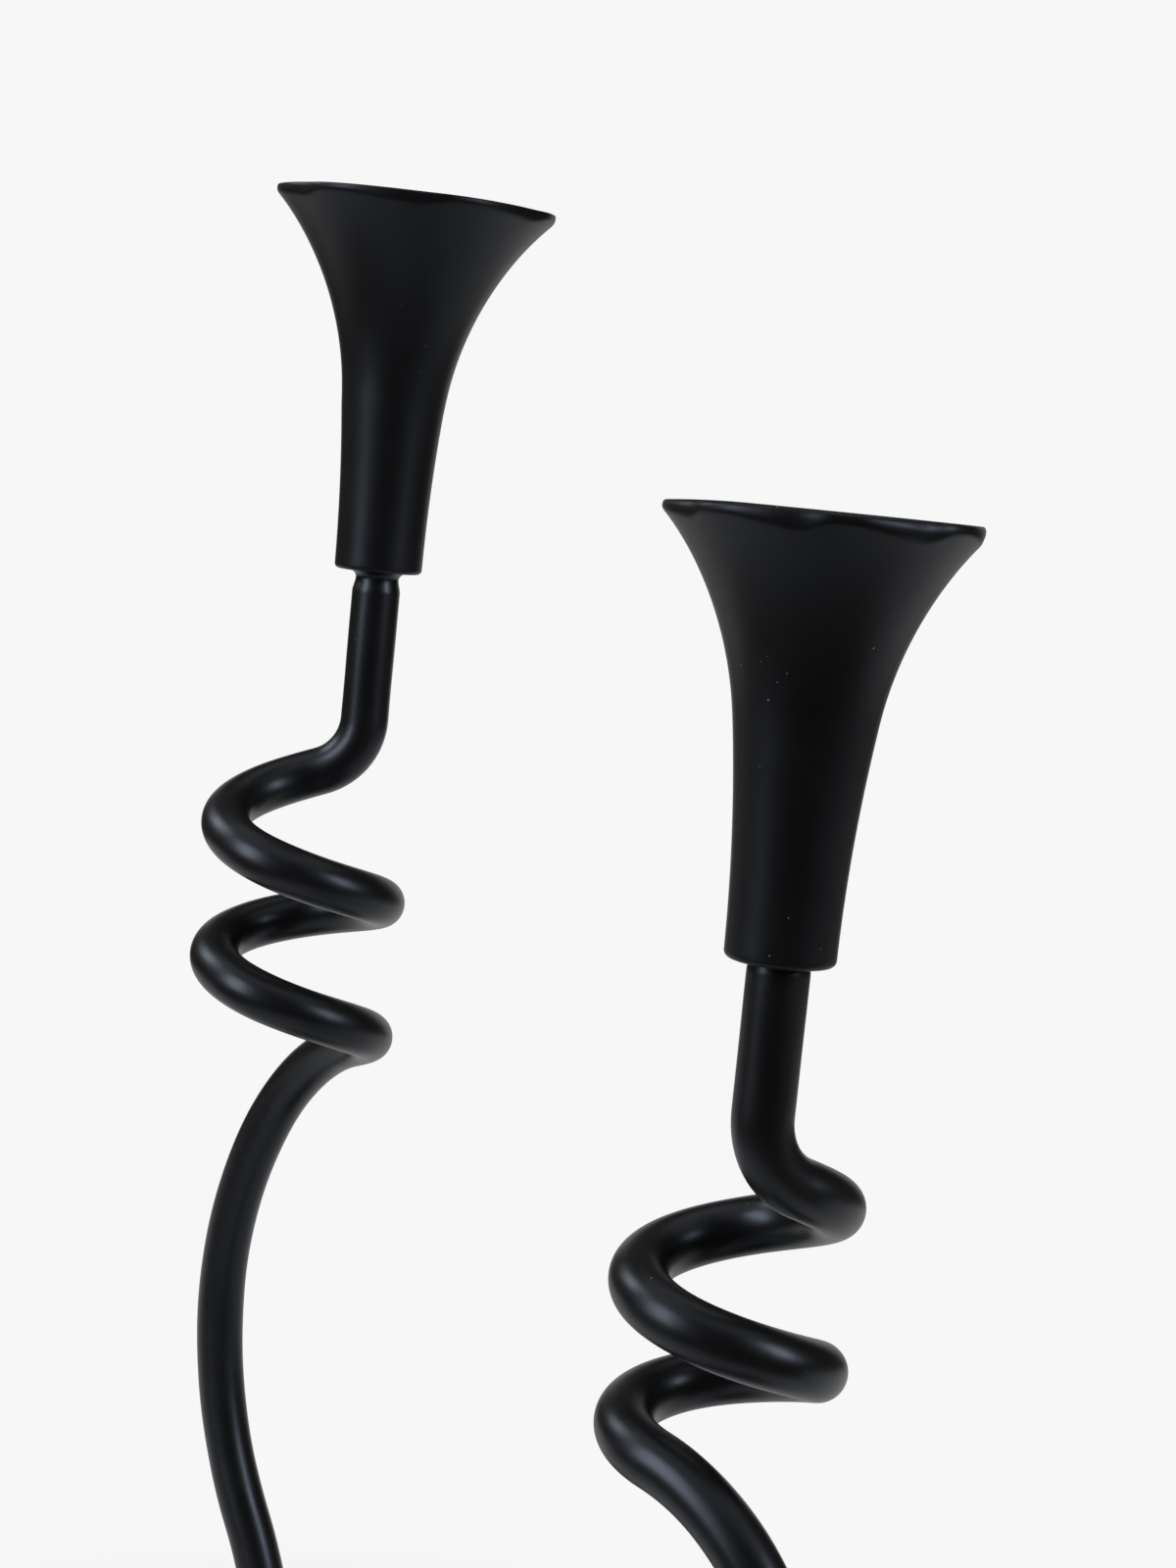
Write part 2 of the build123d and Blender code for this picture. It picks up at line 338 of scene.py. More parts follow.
# %% Bend the bars
BAR_SIDES = 56
UNEVENNESS = 0.035 * MM
SLOW_SWELL = 9.3 * MM
QUICK_SWELL = 4.1 * MM
QUICK_SHARE = 0.6


def uneven(distance, holder):
    """The hand-bent bar's slow swelling and thinning, as a length added to the radius."""
    slow = sin(distance / SLOW_SWELL + holder.uneven_phase)
    quick = sin(distance / QUICK_SWELL + 2 * holder.uneven_phase)
    return UNEVENNESS * (slow + QUICK_SHARE * quick)


def bar_radius_at(from_top, from_foot, holder):
    """The bar's radius: a neck and a smooth shoulder under the cup, and paint fillets at both ends."""
    below_neck = (from_top - holder.neck_end) / (holder.shoulder_end - holder.neck_end)
    share = min(1.0, max(0.0, below_neck))
    fullness = share**2 * (3 - 2 * share)
    radius = holder.neck_radius + (holder.bar_radius - holder.neck_radius) * fullness
    nearest_end = min(from_top, from_foot)
    fillet = max(0.0, 1 - nearest_end / holder.fillet_height)
    return radius + uneven(from_top, holder) + holder.fillet_reach * fillet**2


def make_bar(holder):
    """One smooth tube along the centre line, closed at both ends."""
    line = centre_line(holder)
    frames = carried_frames(line)
    travelled = [0.0]
    for a, b in zip(line, line[1:]):
        travelled.append(travelled[-1] + (b - a).length)
    points = []
    for centre, (across, beside), distance in zip(line, frames, travelled):
        radius = bar_radius_at(distance, travelled[-1] - distance, holder)
        for side in range(BAR_SIDES):
            angle = 2 * pi * side / BAR_SIDES
            points.append(centre + (across * cos(angle) + beside * sin(angle)) * radius)
    faces = ring_faces(len(line), BAR_SIDES, closed=False)
    last_ring = (len(line) - 1) * BAR_SIDES
    faces.append(tuple(reversed(range(BAR_SIDES))))
    faces.append(tuple(range(last_ring, last_ring + BAR_SIDES)))
    bar = mesh_object(f"{holder.name}_bent_bar", points, faces)
    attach(bar, "root")
    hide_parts(f"{holder.name}_stem")
    return bar


bars = [make_bar(holder) for holder in HOLDERS]
for bar in bars:
    print(bar.name, len(bar.data.polygons), "faces")

# %% [markdown]
# ## The trumpet cups
# Each cup is cast: a closed floor, a straight bore for the candle and a long flare. Its top is level, and its
# edge runs out to seven soft points, like the edge of a flower, and is cut back between them. From the front
# the top therefore looks level, while the end face under it waves: thin at the points and taller in the dips.
# The wall is one outline that is spun round the axis, and only the lip's points change with the direction.

# %% Outline of the wall
SCREW_HOLE_RADIUS = 3.2 * MM
POCKET_RADIUS = 8.5 * MM
BORE_RADIUS = 11.2 * MM
CUP_FLOOR = 5.0 * MM
CORNER_RADIUS = 1.2 * MM
OUTLINE_STEP = 1.2 * MM
ROUND_STEPS = 8


def flat(radius, height):
    """A point of an outline: the radius along X and the height along Z."""
    return Vector((radius, 0, height))


def spun(point, angle):
    """A point of an outline, turned round the upright axis."""
    return Vector((point.x * cos(angle), point.x * sin(angle), point.z))


def tangent_arc(start, heading, end):
    """An outline arc without its first point, and the direction in which it arrives."""
    chord = (end - start).normalized()
    arrival = (chord * (2 * chord.dot(heading)) - heading).normalized()
    shares = spaced((end - start).length, OUTLINE_STEP)
    return arc_points(start, heading, end, shares), arrival


def rounding(centre, radius, start, end):
    """The points of a rounded corner of an outline."""
    angles = [start + (end - start) * step / ROUND_STEPS for step in range(ROUND_STEPS + 1)]
    return [centre + Vector((cos(angle), 0, sin(angle))) * radius for angle in angles]


# %% Outline of the lip
LIP_HEIGHT = 1.3 * MM
LIP_TRIM = 0.3 * MM
LIP_CUT_BACK = 1.4 * MM
LIP_LAND = 0.7 * MM
DIP_OVERHANG = 0.25 * MM
LOWER_EDGE_CUT = 0.9 * MM
UPPER_EDGE_CUT = 0.8 * MM
EDGE_CUT = 0.5 * MM
LARGEST_CUT = 0.48
SOFT_STEPS = 6
LIP_WALL_STEPS = 10


def cut_end(corner, towards, cut):
    """Where a rounding starts: `cut` away from the corner, and before the middle of that edge."""
    edge = towards - corner
    return corner + edge.normalized() * min(cut, edge.length * LARGEST_CUT)


def softened(before, corner, after, cut):
    """Points that round off a corner of an outline, starting at most `cut` from it on either side."""
    start = cut_end(corner, before, cut)
    end = cut_end(corner, after, cut)
    shares = [step / SOFT_STEPS for step in range(SOFT_STEPS + 1)]
    return [start * (1 - s) ** 2 + corner * (2 * s * (1 - s)) + end * s**2 for s in shares]


def land_of(holder):
    """The inner edge of the lip's level top."""
    return flat(holder.rim_radius - LIP_CUT_BACK - LIP_LAND, holder.cup_height)


def lip_outline(holder, wall_start, wall_centre, wall_radius, inner_end, dip):
    """The last of the outer wall and the lip, up to the inner wall, for 0 = a point to 1 = a dip."""
    edge_radius = holder.rim_radius - LIP_CUT_BACK * dip
    wall = []
    for step in range(1, LIP_WALL_STEPS + 1):
        reach = wall_start.x + (edge_radius - wall_start.x) * step / LIP_WALL_STEPS
        rise = sqrt(wall_radius**2 - (wall_centre.x - reach) ** 2)
        wall.append(flat(reach, wall_centre.z + rise))
    face_top = flat(edge_radius + DIP_OVERHANG * dip, holder.cup_height - holder.edge_drop * (1 + dip))
    top_edge = flat(edge_radius - holder.edge_width, holder.cup_height)
    corners = (wall[-3], wall[-1], face_top, top_edge, land_of(holder), inner_end)
    cuts = (LOWER_EDGE_CUT, UPPER_EDGE_CUT, EDGE_CUT, EDGE_CUT)
    points = wall[:-2]
    for before, corner, after, cut in zip(corners, corners[1:], corners[2:], cuts):
        points += softened(before, corner, after, cut)
    return points


def cup_outlines(holder):
    """The points outside the cup up to its last arc, that arc's centre and radius, and the points inside."""
    lip_foot = flat(holder.rim_radius + LIP_TRIM, holder.cup_height - LIP_HEIGHT)
    corner_centre = flat(holder.cup_bottom_radius - CORNER_RADIUS, CORNER_RADIUS)
    corner = rounding(corner_centre, CORNER_RADIUS, -pi / 2, 0)
    throat, throat_heading = tangent_arc(flat(holder.cup_bottom_radius, 0), UP, flat(*holder.throat))
    throat = [point for point in throat if point.z > CORNER_RADIUS]
    flare, flare_heading = tangent_arc(throat[-1], throat_heading, flat(*holder.flare))
    wall_radius, _, inward = arc_shape(flare[-1], flare_heading, lip_foot)
    wall_centre = flare[-1] + inward * wall_radius
    bore_mouth = flat(BORE_RADIUS, holder.bore_top)
    inside, _ = tangent_arc(bore_mouth, UP, land_of(holder))
    outer = [flat(SCREW_HOLE_RADIUS, 0)] + corner + throat + flare
    inner = inside[-2::-1] + [bore_mouth]
    inner += [flat(BORE_RADIUS, holder.seat_height), flat(POCKET_RADIUS, holder.seat_height)]
    inner += [flat(POCKET_RADIUS, CUP_FLOOR), flat(SCREW_HOLE_RADIUS, CUP_FLOOR)]
    return outer, wall_centre, wall_radius, inner


for holder in HOLDERS:
    outer, wall_centre, wall_radius, inner = cup_outlines(holder)
    print(holder.name, "cup wall has", len(outer), "points outside and", len(inner), "inside")

# %% Spin the cups
LIP_POINTS = 7
DIP_LEAN = 0.55
DIP_SHARPNESS = 2.0
DIP_UNEVENNESS = 0.13
TIP_START = 0.4
SIDES_PER_POINT = 32
CUP_SIDES = LIP_POINTS * SIDES_PER_POINT


def dip_share(angle, holder):
    """0 at a point of the lip and about 1 in the middle of a dip, each dip leaning and a little different."""
    front_angle = angle + pi / 2 - holder.lip_turn
    phase = LIP_POINTS * (front_angle - holder.dip_spread * sin(front_angle))
    phase += DIP_LEAN * (1 - cos(phase))
    strength = 1 + DIP_UNEVENNESS * sin(2 * front_angle + holder.uneven_phase)
    return strength * (0.5 + 0.5 * cos(phase)) ** DIP_SHARPNESS


def hand_shaped(point, holder):
    """A point of the hand-shaped cup: its flare a touch to one side, its rim off level, one tip drooping."""
    share = max(0.0, (point.z - holder.bore_top) / (holder.cup_height - holder.bore_top))
    aside = holder.flare_shift * share
    drop = (point.x * tan(holder.rim_tilt) + point.y * tan(holder.rim_nod)) * share
    far_left = max(0.0, -point.x / holder.rim_radius - TIP_START) / (1 - TIP_START)
    drop += holder.tip_droop * far_left**2 * share**2
    return point + Vector((aside, 0, -drop))


def make_cup(holder):
    """The cup's wall, spun round the holder's axis, with its lip shaped direction by direction."""
    seat = holder.place + UP * holder.bar_top
    outer, wall_centre, wall_radius, inner = cup_outlines(holder)
    outlines = []
    for side in range(CUP_SIDES):
        dip = dip_share(2 * pi * side / CUP_SIDES, holder)
        lip = lip_outline(holder, outer[-1], wall_centre, wall_radius, inner[0], dip)
        outlines.append(outer + lip + inner)
    points = []
    for step in range(len(outlines[0])):
        for side, outline in enumerate(outlines):
            point = spun(outline[step], 2 * pi * side / CUP_SIDES)
            points.append(seat + hand_shaped(point, holder))
    faces = ring_faces(len(outlines[0]), CUP_SIDES, closed=True)
    cup = mesh_object(f"{holder.name}_trumpet_cup", points, faces)
    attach(cup, "root")
    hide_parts(f"{holder.name}_cup")
    return cup


cups = [make_cup(holder) for holder in HOLDERS]
for cup in cups:
    print(cup.name, len(cup.data.polygons), "faces")

# %% [markdown]
# ## The foot plates
# A plain steel disc with a rounded upper edge keeps a tall holder from tipping. It is turned from one outline
# too, with the countersunk hole for the screw that comes up from beneath.

# %% Turn the foot plates
PLATE_TOP_ROUND = 2.5 * MM
PLATE_UNDER_ROUND = 0.8 * MM
COUNTERSINK_RADIUS = 6.15 * MM
PLATE_SIDES = 160
PLATE_RADIUS = 60.0 * MM
PLATE_RINGS = (0.8, 0.6, 0.4, 0.2)


def plate_outline(holder):
    """The closed outline of a foot plate, from the countersink round the edge to the top of the hole."""
    low, top = holder.plate_low, holder.plate_top
    under_centre = flat(PLATE_RADIUS - PLATE_UNDER_ROUND, low + PLATE_UNDER_ROUND)
    top_centre = flat(PLATE_RADIUS - PLATE_TOP_ROUND, top - PLATE_TOP_ROUND)
    outline = [flat(COUNTERSINK_RADIUS, low), flat(PLATE_RADIUS / 2, low)]
    outline += rounding(under_centre, PLATE_UNDER_ROUND, -pi / 2, 0)
    outline += rounding(top_centre, PLATE_TOP_ROUND, 0, pi / 2)
    outline += [flat(PLATE_RADIUS * share, top) for share in PLATE_RINGS]
    outline += [flat(SCREW_HOLE_RADIUS, top)]
    outline += [flat(SCREW_HOLE_RADIUS, low + COUNTERSINK_RADIUS - SCREW_HOLE_RADIUS)]
    return outline


def make_plate(holder):
    """The foot plate, spun round the holder's axis."""
    outline = plate_outline(holder)
    points = []
    for corner in outline:
        for side in range(PLATE_SIDES):
            points.append(holder.place + spun(corner, 2 * pi * side / PLATE_SIDES))
    faces = ring_faces(len(outline), PLATE_SIDES, closed=True)
    plate = mesh_object(f"{holder.name}_foot_plate", points, faces)
    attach(plate, "root")
    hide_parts(f"{holder.name}_base_plate")
    return plate


plates = [make_plate(holder) for holder in HOLDERS]
print([plate.name for plate in plates])

# %% [markdown]
# ## The felt pads
# Felt is soft, so its corners are never crisp: each pad is a disc whose sides bulge a little where the weight
# presses on it, with a faintly uneven surface that the felt's material finishes.

# %% Press the felt pads
PAD_COUNT = 3
PAD_RADIUS = 7.0 * MM
PAD_CIRCLE = 48.0 * MM
PAD_SIDES = 64
PAD_BULGE = 0.25 * MM
PAD_RINGS = (0.02, 0.35, 0.7, 0.92)
PAD_SIDE_STEPS = 6
PAD_EDGE = 0.04


def pad_outline(holder):
    """A pad's outline from the middle of its underside, round its bulging side, to the middle of its top."""
    thickness = holder.plate_low
    outline = [flat(PAD_RADIUS * share, 0) for share in PAD_RINGS]
    for step in range(PAD_SIDE_STEPS + 1):
        share = step / PAD_SIDE_STEPS
        side = PAD_RADIUS - PAD_BULGE + 2 * PAD_BULGE * sin(pi * share)
        outline.append(flat(side, thickness * (PAD_EDGE + (1 - 2 * PAD_EDGE) * share)))
    outline += [flat(PAD_RADIUS * share, thickness) for share in reversed(PAD_RINGS)]
    return outline


def make_pads(holder):
    """The pads under one plate, as one piece."""
    outline = pad_outline(holder)
    points = []
    faces = []
    for pad in range(PAD_COUNT):
        heading = pi / 2 + 2 * pi * pad / PAD_COUNT
        middle = holder.place + Vector((cos(heading), sin(heading), 0)) * PAD_CIRCLE
        first = len(points)
        for corner in outline:
            for side in range(PAD_SIDES):
                points.append(middle + spun(corner, 2 * pi * side / PAD_SIDES))
        loop_faces = ring_faces(len(outline), PAD_SIDES, closed=False)
        faces += [tuple(first + index for index in face) for face in loop_faces]
        faces.append(tuple(reversed(range(first, first + PAD_SIDES))))
        faces.append(tuple(range(len(points) - PAD_SIDES, len(points))))
    pads = mesh_object(f"{holder.name}_soft_pads", points, faces)
    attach(pads, "root")
    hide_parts(f"{holder.name}_felt_pads")
    return pads


pads = [make_pads(holder) for holder in HOLDERS]
print([pad.name for pad in pads])

# %% [markdown]
# ## Shared surface effects
# Sprayed black paint is never one flat colour. It dries with a fine pebbled skin, called orange peel, it is a
# little glossier in some places than others, and it gathers pale specks of dust. Two node groups hold these
# effects, so that the bars, the cups and the plates can each take their own amount of them.

# %% Node helpers
def new_group(name, inputs, outputs):
    """An empty shader node group with named float inputs (name, default) and named float outputs."""
    group = bpy.data.node_groups.new(name, "ShaderNodeTree")
    for label, default in inputs:
        socket = group.interface.new_socket(name=label, in_out="INPUT", socket_type="NodeSocketFloat")
        socket.default_value = default
    for label in outputs:
        group.interface.new_socket(name=label, in_out="OUTPUT", socket_type="NodeSocketFloat")
    enter = group.nodes.new("NodeGroupInput")
    leave = group.nodes.new("NodeGroupOutput")
    return group, enter, leave


def add_node(tree, kind, **settings):
    """A node of this kind with its settings."""
    node = tree.nodes.new(kind)
    for key, value in settings.items():
        setattr(node, key, value)
    return node


def add_math(tree, operation, first, second):
    """A math node; each operand is a socket or a number. Returns its output."""
    node = add_node(tree, "ShaderNodeMath", operation=operation)
    for socket, operand in zip(node.inputs, (first, second)):
        if isinstance(operand, (int, float)):
            socket.default_value = operand
        else:
            tree.links.new(operand, socket)
    return node.outputs[0]


def add_noise(tree, vector, scale, detail):
    """Noise around 0.5 over the surface. The scale counts cells per metre."""
    node = add_node(tree, "ShaderNodeTexNoise")
    tree.links.new(vector, node.inputs["Vector"])
    node.inputs["Scale"].default_value = scale
    node.inputs["Detail"].default_value = detail
    return node.outputs["Fac"]


# %% Sprayed paint and settled dust
PEEL_CELLS = 620.0
GRAIN_CELLS = 2300.0
MOTTLE_CELLS = 75.0
SPECK_CELLS = 760.0
SPECK_SIZE = 0.16
PATCH_CELLS = 55.0
FILM_START = 0.48
FILM_FULL = 0.72
THIN_FILM = 0.15
# Two spots on the short cup: the middle of each and how far it reaches, in metres.
DUST_SPOTS = (((0.0388, -0.1206, 0.3355), 0.0085), ((0.0570, -0.1235, 0.3408), 0.0065))


def add_steps(tree, value, start, end):
    """A smooth share from 0 at `start` to 1 at `end`."""
    node = add_node(tree, "ShaderNodeMapRange", interpolation_type="SMOOTHSTEP")
    tree.links.new(value, node.inputs["Value"])
    node.inputs["From Min"].default_value = start
    node.inputs["From Max"].default_value = end
    return node.outputs["Result"]


def make_sprayed_skin():
    """Orange peel, fine grain and slow runs as one height, and slow mottling as a share from 0 to 1."""
    amounts = (("Peel", 0.5), ("Grain", 0.2), ("Runs", 0.5))
    group, enter, leave = new_group("sprayed_skin", amounts, ("Height", "Mottle"))
    place = add_node(group, "ShaderNodeTexCoord").outputs["Object"]
    peel = add_noise(group, place, PEEL_CELLS, detail=2.0)
    grain = add_noise(group, place, GRAIN_CELLS, detail=1.0)
    runs = add_noise(group, place, MOTTLE_CELLS, detail=3.0)
    peel_height = add_math(group, "MULTIPLY", peel, enter.outputs["Peel"])
    grain_height = add_math(group, "MULTIPLY", grain, enter.outputs["Grain"])
    run_height = add_math(group, "MULTIPLY", runs, enter.outputs["Runs"])
    skin_height = add_math(group, "ADD", peel_height, grain_height)
    height = add_math(group, "ADD", skin_height, run_height)
    group.links.new(height, leave.inputs["Height"])
    group.links.new(runs, leave.inputs["Mottle"])
    return group


def make_settled_dust():
    """A mask of fine specks of different sizes: a few in a thin film, more of them at two spots."""
    group, enter, leave = new_group("settled_dust", (("Amount", 0.3), ("Size", SPECK_SIZE)), ("Mask",))
    place = add_node(group, "ShaderNodeTexCoord").outputs["Object"]
    cells = add_node(group, "ShaderNodeTexVoronoi")
    group.links.new(place, cells.inputs["Vector"])
    cells.inputs["Scale"].default_value = SPECK_CELLS
    lot = add_node(group, "ShaderNodeSeparateColor")
    group.links.new(cells.outputs["Color"], lot.inputs["Color"])
    patches = add_noise(group, place, PATCH_CELLS, detail=1.0)
    crowd = add_math(group, "MULTIPLY", add_steps(group, patches, FILM_START, FILM_FULL), THIN_FILM)
    for spot, reach in DUST_SPOTS:
        gap = add_node(group, "ShaderNodeVectorMath", operation="DISTANCE")
        group.links.new(place, gap.inputs[0])
        gap.inputs[1].default_value = spot
        crowd = add_math(group, "MAXIMUM", crowd, add_steps(group, gap.outputs["Value"], reach, 0.0))
    crowding = add_math(group, "MULTIPLY", crowd, enter.outputs["Amount"])
    chosen = add_math(group, "LESS_THAN", lot.outputs["Red"], crowding)
    speck_radius = add_math(group, "MULTIPLY", lot.outputs["Green"], enter.outputs["Size"])
    inside = add_math(group, "LESS_THAN", cells.outputs["Distance"], speck_radius)
    mask = add_math(group, "MULTIPLY", chosen, inside)
    group.links.new(mask, leave.inputs["Mask"])
    return group


sprayed_skin = make_sprayed_skin()
settled_dust = make_settled_dust()
print("node groups:", sprayed_skin.name, settled_dust.name)

# %% [markdown]
# ## Satin black paint
# The paint is a deep, nearly neutral black with a satin sheen. The sheen is tinted a little blue, which is the
# colour of the window light, painted into the paint's reflections. The bars, rubbed by hands, shine a bit more
# than the matt cups. One function makes the paint, and each piece gets its own sheen, peel and dust. The
# specular level is below that of a clear lacquer, because the matting grains in the paint scatter much of it.

# %% Paint the bars, cups and plates
DUST_GREY = (0.13, 0.13, 0.135, 1)
# The window light's blue, painted into the paint's sheen as its specular tint.
PAINTED_WINDOW_BLUE = (0.765, 0.845, 1.0, 1)
WARMTH = 1.04
BUMP_DISTANCE = 0.05 * MM
BUMP_STRENGTH = 0.35
# A Mix node has sockets for numbers, vectors and colours: these are the places of its colour sockets.
MIX_COLOURS = (6, 7)
MIX_RESULT = 2


def add_mix(tree, share, first, second):
    """A colour mixed by a share; the colours are sockets or values. Returns the mixed colour."""
    node = add_node(tree, "ShaderNodeMix", data_type="RGBA")
    tree.links.new(share, node.inputs["Factor"])
    for index, colour in zip(MIX_COLOURS, (first, second)):
        if isinstance(colour, tuple):
            node.inputs[index].default_value = colour
        else:
            tree.links.new(colour, node.inputs[index])
    return node.outputs[MIX_RESULT]


def new_material(name):
    """A material with only a Principled shader, its node tree and that shader."""
    material = bpy.data.materials.new(name)
    material.use_nodes = True
    tree = material.node_tree
    return material, tree, tree.nodes["Principled BSDF"]


def add_bump(tree, shader, height, strength):
    """Feeds a height to the shader's normal."""
    bump = add_node(tree, "ShaderNodeBump")
    bump.inputs["Strength"].default_value = strength
    bump.inputs["Distance"].default_value = BUMP_DISTANCE
    tree.links.new(height, bump.inputs["Height"])
    tree.links.new(bump.outputs["Normal"], shader.inputs["Normal"])


def make_paint(name, darkest, palest, sheen, smoothest, roughest, peel, grain, runs, dust):
    """Satin black paint between two tones and two roughness values, with its peel, grain, runs and dust."""
    material, tree, shader = new_material(name)
    skin = add_node(tree, "ShaderNodeGroup", node_tree=sprayed_skin)
    skin.inputs["Peel"].default_value = peel
    skin.inputs["Grain"].default_value = grain
    skin.inputs["Runs"].default_value = runs
    specks = add_node(tree, "ShaderNodeGroup", node_tree=settled_dust)
    specks.inputs["Amount"].default_value = dust
    tones = [(tone * WARMTH, tone, tone, 1) for tone in (darkest, palest)]
    black = add_mix(tree, skin.outputs["Mottle"], *tones)
    dusty = add_mix(tree, specks.outputs["Mask"], black, DUST_GREY)
    tree.links.new(dusty, shader.inputs["Base Color"])
    spread = add_math(tree, "MULTIPLY", skin.outputs["Mottle"], roughest - smoothest)
    roughness = add_math(tree, "ADD", spread, smoothest)
    tree.links.new(roughness, shader.inputs["Roughness"])
    shader.inputs["Specular IOR Level"].default_value = sheen
    # Painted reflection colour: the window light's blue tints the sheen.
    shader.inputs["Specular Tint"].default_value = PAINTED_WINDOW_BLUE
    add_bump(tree, shader, skin.outputs["Height"], BUMP_STRENGTH)
    return material


bar_paint = make_paint(
    "satin_black_bar",
    darkest=0.0014, palest=0.0028, sheen=0.28, smoothest=0.31, roughest=0.44,
    peel=0.5, grain=0.12, runs=1.2, dust=0.20,
)
cup_paint = make_paint(
    "satin_black_cup",
    darkest=0.0014, palest=0.0028, sheen=0.20, smoothest=0.38, roughest=0.50,
    peel=0.6, grain=0.20, runs=0.5, dust=0.75,
)
plate_paint = make_paint(
    "satin_black_plate",
    darkest=0.0016, palest=0.0030, sheen=0.24, smoothest=0.34, roughest=0.46,
    peel=0.7, grain=0.16, runs=0.6, dust=0.40,
)
for pieces, paint in ((bars, bar_paint), (cups, cup_paint), (plates, plate_paint)):
    for piece in pieces:
        piece.data.materials.append(paint)
print("paints:", bar_paint.name, cup_paint.name, plate_paint.name)

# %% [markdown]
# ## Zinc-plated screws and felt
# The screws and washers are bought parts. Their zinc is a cool grey metal with a fine crystalline mottle, and
# they keep their CAD shapes. The felt is a dense mat of short fibres, all colour variation and fuzz.

# %% Finish the screws, washers and pads
ZINC_LIGHT = (0.62, 0.63, 0.66, 1)
ZINC_DARK = (0.42, 0.43, 0.46, 1)
FELT_DARK = (0.012, 0.012, 0.013, 1)
FELT_LIGHT = (0.045, 0.045, 0.048, 1)
ZINC_CELLS = 900.0
ZINC_SMOOTHEST = 0.22
ZINC_SPREAD = 0.25
ZINC_BUMP = 0.15
FELT_CELLS = 2400.0
FELT_BUMP = 0.9


def make_zinc():
    """Bright zinc with a crystalline mottle in its colour and sheen."""
    material, tree, shader = new_material("zinc_plate")
    place = add_node(tree, "ShaderNodeTexCoord").outputs["Object"]
    grain = add_noise(tree, place, ZINC_CELLS, detail=4.0)
    tree.links.new(add_mix(tree, grain, ZINC_DARK, ZINC_LIGHT), shader.inputs["Base Color"])
    spread = add_math(tree, "MULTIPLY", grain, ZINC_SPREAD)
    tree.links.new(add_math(tree, "ADD", spread, ZINC_SMOOTHEST), shader.inputs["Roughness"])
    shader.inputs["Metallic"].default_value = 1.0
    add_bump(tree, shader, grain, ZINC_BUMP)
    return material


def make_felt():
    """Matted black fibres."""
    material, tree, shader = new_material("black_felt")
    place = add_node(tree, "ShaderNodeTexCoord").outputs["Object"]
    fibres = add_noise(tree, place, FELT_CELLS, detail=6.0)
    tree.links.new(add_mix(tree, fibres, FELT_DARK, FELT_LIGHT), shader.inputs["Base Color"])
    shader.inputs["Roughness"].default_value = 0.95
    shader.inputs["Sheen Weight"].default_value = 0.3
    add_bump(tree, shader, fibres, FELT_BUMP)
    return material


zinc = make_zinc()
felt = make_felt()
for pad in pads:
    pad.data.materials.append(felt)
for holder in HOLDERS:
    for fastener in ("cup_screw", "cup_washer", "base_screw"):
        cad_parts[f"{holder.name}_{fastener}"].material_slots[0].material = zinc
print("fasteners wear", zinc.name, "and the pads", felt.name)

# %% [markdown]
# ## The camera
# The photograph looks slightly down at the set from close by, with the camera tipped a few degrees to the
# left, which makes both holders lean to the right. The foot of each holder is below the edge of the frame.
# The camera is built from its own three axes, so that pitch and roll can be read as plain angles.

# %% Place the camera
FRAME_HEIGHT_PIXELS = 1600
FOCAL_PIXELS = 3000
SENSOR_HEIGHT = 36.0
CAMERA_PLACE = Vector((10.3, -645.5, 374.0)) * MM
CAMERA_PITCH = radians(6.6)
CAMERA_ROLL = radians(5.68)
NEAR_CLIP = 0.02
FAR_CLIP = 50.0


def make_camera():
    """A camera at the photograph's viewpoint, pitched down and rolled to the left."""
    data = bpy.data.cameras.new("photo_camera")
    data.sensor_fit = "VERTICAL"
    data.sensor_height = SENSOR_HEIGHT
    data.lens = FOCAL_PIXELS / FRAME_HEIGHT_PIXELS * SENSOR_HEIGHT
    data.clip_start = NEAR_CLIP
    data.clip_end = FAR_CLIP
    forward = Vector((0, cos(CAMERA_PITCH), -sin(CAMERA_PITCH)))
    level_up = Vector((0, sin(CAMERA_PITCH), cos(CAMERA_PITCH)))
    level_right = Vector((1, 0, 0))
    right = level_right * cos(CAMERA_ROLL) + level_up * sin(CAMERA_ROLL)
    above = level_up * cos(CAMERA_ROLL) - level_right * sin(CAMERA_ROLL)
    camera = bpy.data.objects.new("photo_camera", data)
    turn = Matrix((right, above, -forward)).transposed()
    camera.matrix_world = Matrix.Translation(CAMERA_PLACE) @ turn.to_4x4()
    bpy.context.scene.collection.objects.link(camera)
    bpy.context.scene.camera = camera
    return camera


camera = make_camera()
print("camera lens", round(camera.data.lens, 2), "mm at", tuple(camera.location))

# %% [markdown]
# ## A pale floor and background
# The set stands on a plain pale sweep. Near the holders the floor is an ordinary matt surface, so that it
# keeps their shadows. Further out it fades into the plain background colour, so no horizon line shows.

# %% Make the floor and the world
BACKGROUND = (0.93, 0.93, 0.93, 1)
FLOOR_COLOUR = (0.84, 0.825, 0.80, 1)
FLOOR_RADIUS = 8.0
FLOOR_SIDES = 96
SHADOW_NEAR = 0.20
SHADOW_FAR = 0.32
WORLD_FILL = 0.6


def background_rays(tree):
    """1 where the camera, a reflection or a transparent surface looks at the background, else 0."""
    path = add_node(tree, "ShaderNodeLightPath")
    seen = add_math(tree, "MAXIMUM", path.outputs["Is Camera Ray"], path.outputs["Is Glossy Ray"])
    return add_math(tree, "MAXIMUM", seen, path.outputs["Is Transmission Ray"])


